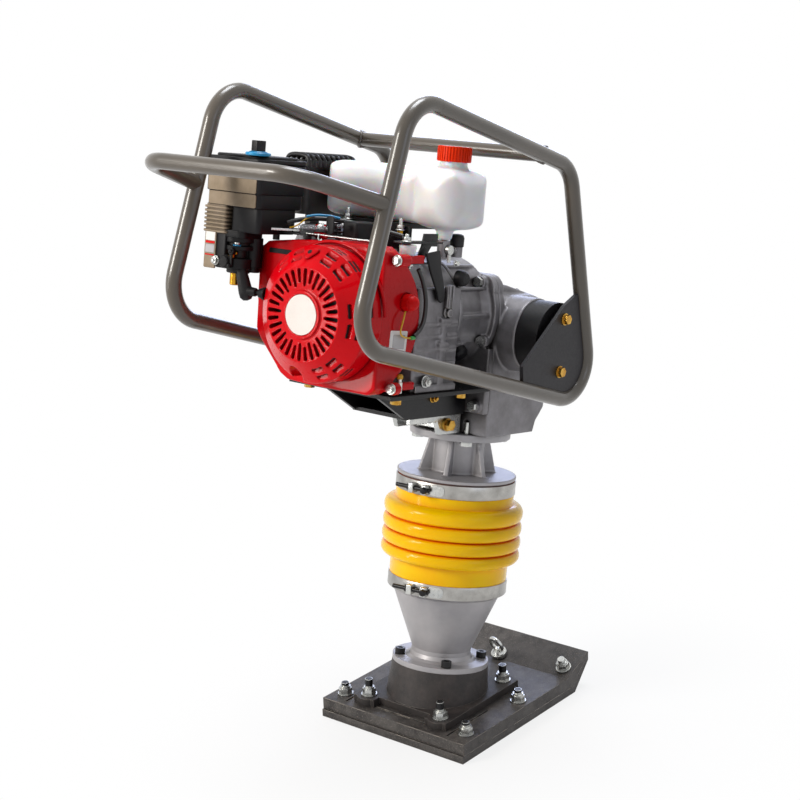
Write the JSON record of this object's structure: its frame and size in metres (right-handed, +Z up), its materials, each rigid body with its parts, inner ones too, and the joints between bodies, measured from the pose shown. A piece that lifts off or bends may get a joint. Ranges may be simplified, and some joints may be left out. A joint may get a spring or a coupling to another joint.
{
  "type": "jumping jack rammer",
  "caption": "Petrol jumping jack rammer: tamping shoe, sprung leg in a bellows, gear case and engine in a tubular guard frame with a rear handle.",
  "frame": {"origin": "centre of the shoe's footprint, on the ground under its sole", "axes": "+X towards the turned-up toe, +Y to the machine's left, +Z up"},
  "size_m": [0.6564, 0.3895, 1.0093],
  "materials": {
    "cast_iron_dark": "rough, worn",
    "shoe_steel": "worn black paint",
    "zinc": "zinc plated",
    "yellow_zinc": "yellow zinc plated",
    "black_steel": "black paint",
    "cast_aluminium": "as cast",
    "spring_steel": "ground",
    "stainless": "brushed",
    "polyurethane": "gloss",
    "red_paint": "gloss",
    "badge": "satin",
    "black_plastic": "satin",
    "white_plastic": "translucent",
    "orange_plastic": "gloss",
    "blue_plastic": "gloss",
    "red_rubber": "soft",
    "black_rubber": "matt",
    "guard_paint": "gloss",
    "gusset_paint": "satin",
    "heat_steel": "heat stained",
    "wire_pvc": "gloss"
  },
  "bodies": {
    "foot": {"sole_plate": "shoe_steel", "shoe_deck": "shoe_steel", "shoe_nuts": "zinc", "lifting_eye": "zinc", "foot_base": "cast_iron_dark", "foot_cone": "cast_aluminium", "cone_bolts": "black_steel", "spring_cylinder": "spring_steel", "lower_spring": "spring_steel", "upper_spring": "spring_steel", "lower_clamp": "stainless", "bellows": "polyurethane"},
    "machine": {"guide_cylinder": "cast_aluminium", "upper_clamp": "stainless", "neck_bolts": "zinc", "piston_rod": "spring_steel", "gear_case": "cast_aluminium", "clutch_housing": "cast_aluminium", "housing_bolts": "zinc", "housing_plug": "black_plastic", "mount_block": "zinc", "drain_plug": "yellow_zinc", "engine_bracket": "black_steel", "bracket_bolts": "yellow_zinc", "engine_block": "cast_aluminium", "cylinder_head": "cast_aluminium", "spark_plug": "black_rubber", "fan_cover": "red_paint", "starter_housing": "red_paint", "starter_badge": "badge", "cover_bolts": "zinc", "air_cleaner": "black_plastic", "air_cleaner_lid": "black_plastic", "carburettor": "cast_aluminium", "control_plate": "black_steel", "muffler": "heat_steel", "muffler_guard": "black_steel", "fuel_tank": "white_plastic", "fuel_cock": "cast_aluminium", "tank_bracket": "black_steel", "stop_wires": "wire_pvc", "rubber_dampers": "black_rubber"},
    "engine_shaft": {"crankshaft": "spring_steel", "clutch_shoes": "spring_steel"},
    "clutch_drum": {"clutch_drum": "spring_steel"},
    "crank_gear": {"crank_gear": "spring_steel"},
    "con_rod": {"con_rod": "spring_steel"},
    "guard": {"guard_right": "guard_paint", "guard_left": "guard_paint", "guard_crossbar": "guard_paint", "rear_handle": "guard_paint", "gusset_plates": "gusset_paint", "gusset_bolts": "yellow_zinc"},
    "starter_grip": {"starter_grip": "black_rubber"},
    "cleaner_knob": {"cleaner_knob": "blue_plastic"},
    "fuel_cap": {"fuel_cap": "orange_plastic"},
    "choke_lever": {"choke_lever": "black_plastic"},
    "throttle_lever": {"throttle_lever": "zinc"},
    "cock_lever": {"cock_lever": "blue_plastic"},
    "stop_switch": {"stop_switch": "red_rubber"}
  },
  "joints": [
    {"name": "leg_stroke", "type": "slide", "parent": "foot", "child": "machine", "axis": [0.1791, 0, 0.9838], "range_m": [-0.03, 0.03], "stiffness_N_per_m": 45000, "springref_m": 0.0125, "deforming": ["bellows", "lower_spring", "upper_spring"]},
    {"name": "guard_rock", "type": "hinge", "parent": "machine", "child": "guard", "pos_m": [0.05793, 0, 0.61086], "axis": [0, 1, 0], "range_deg": [-1.5, 1.5], "stiffness_Nm_per_rad": 6000, "springref_deg": 0.27},
    {"name": "engine_shaft_spin", "type": "hinge", "parent": "machine", "child": "engine_shaft", "pos_m": [0.05704, 0, 0.63948], "axis": [0.9838, 0, -0.1791], "continuous": true},
    {"name": "crank_gear_spin", "type": "hinge", "parent": "machine", "child": "crank_gear", "pos_m": [0.04164, 0, 0.55488], "axis": [0.9838, 0, -0.1791], "continuous": true},
    {"name": "clutch_drum_spin", "type": "hinge", "parent": "machine", "child": "clutch_drum", "pos_m": [0.05704, 0, 0.63948], "axis": [0.9838, 0, -0.1791], "continuous": true},
    {"name": "con_rod_turn", "type": "hinge", "parent": "crank_gear", "child": "con_rod", "pos_m": [0.04522, 0, 0.57455], "axis": [0.9838, 0, -0.1791], "continuous": true},
    {"name": "starter_pull", "type": "slide", "parent": "machine", "child": "starter_grip", "axis": [0, 1, 0], "range_m": [0, 0.6], "stiffness_N_per_m": 30, "springref_m": -0.3},
    {"name": "cleaner_knob_turn", "type": "hinge", "parent": "machine", "child": "cleaner_knob", "pos_m": [-0.2774, 0.116, 0.91282], "axis": [0.1791, 0, 0.9838], "continuous": true},
    {"name": "fuel_cap_turn", "type": "hinge", "parent": "machine", "child": "fuel_cap", "pos_m": [-0.05129, -0.057, 0.89299], "axis": [0.1791, 0, 0.9838], "continuous": true},
    {"name": "choke_swing", "type": "hinge", "parent": "machine", "child": "choke_lever", "pos_m": [-0.26751, 0.15, 0.77177], "axis": [0.9838, 0, -0.1791], "range_deg": [0, 60]},
    {"name": "throttle_swing", "type": "hinge", "parent": "machine", "child": "throttle_lever", "pos_m": [-0.23646, 0.088, 0.80271], "axis": [0.1791, 0, 0.9838], "range_deg": [0, 50]},
    {"name": "fuel_cock_turn", "type": "hinge", "parent": "machine", "child": "cock_lever", "pos_m": [-0.08317, -0.068, 0.7626], "axis": [0, 1, 0], "range_deg": [0, 90]},
    {"name": "stop_press", "type": "slide", "parent": "machine", "child": "stop_switch", "axis": [0, 1, 0], "range_m": [0, 0.003], "stiffness_N_per_m": 2000, "springref_m": -0.002}
  ],
  "couplings": [
    {"joint": "clutch_drum_spin", "follows": "crank_gear_spin", "ratio": -5.6154},
    {"joint": "con_rod_turn", "follows": "crank_gear_spin", "ratio": -1}
  ]
}
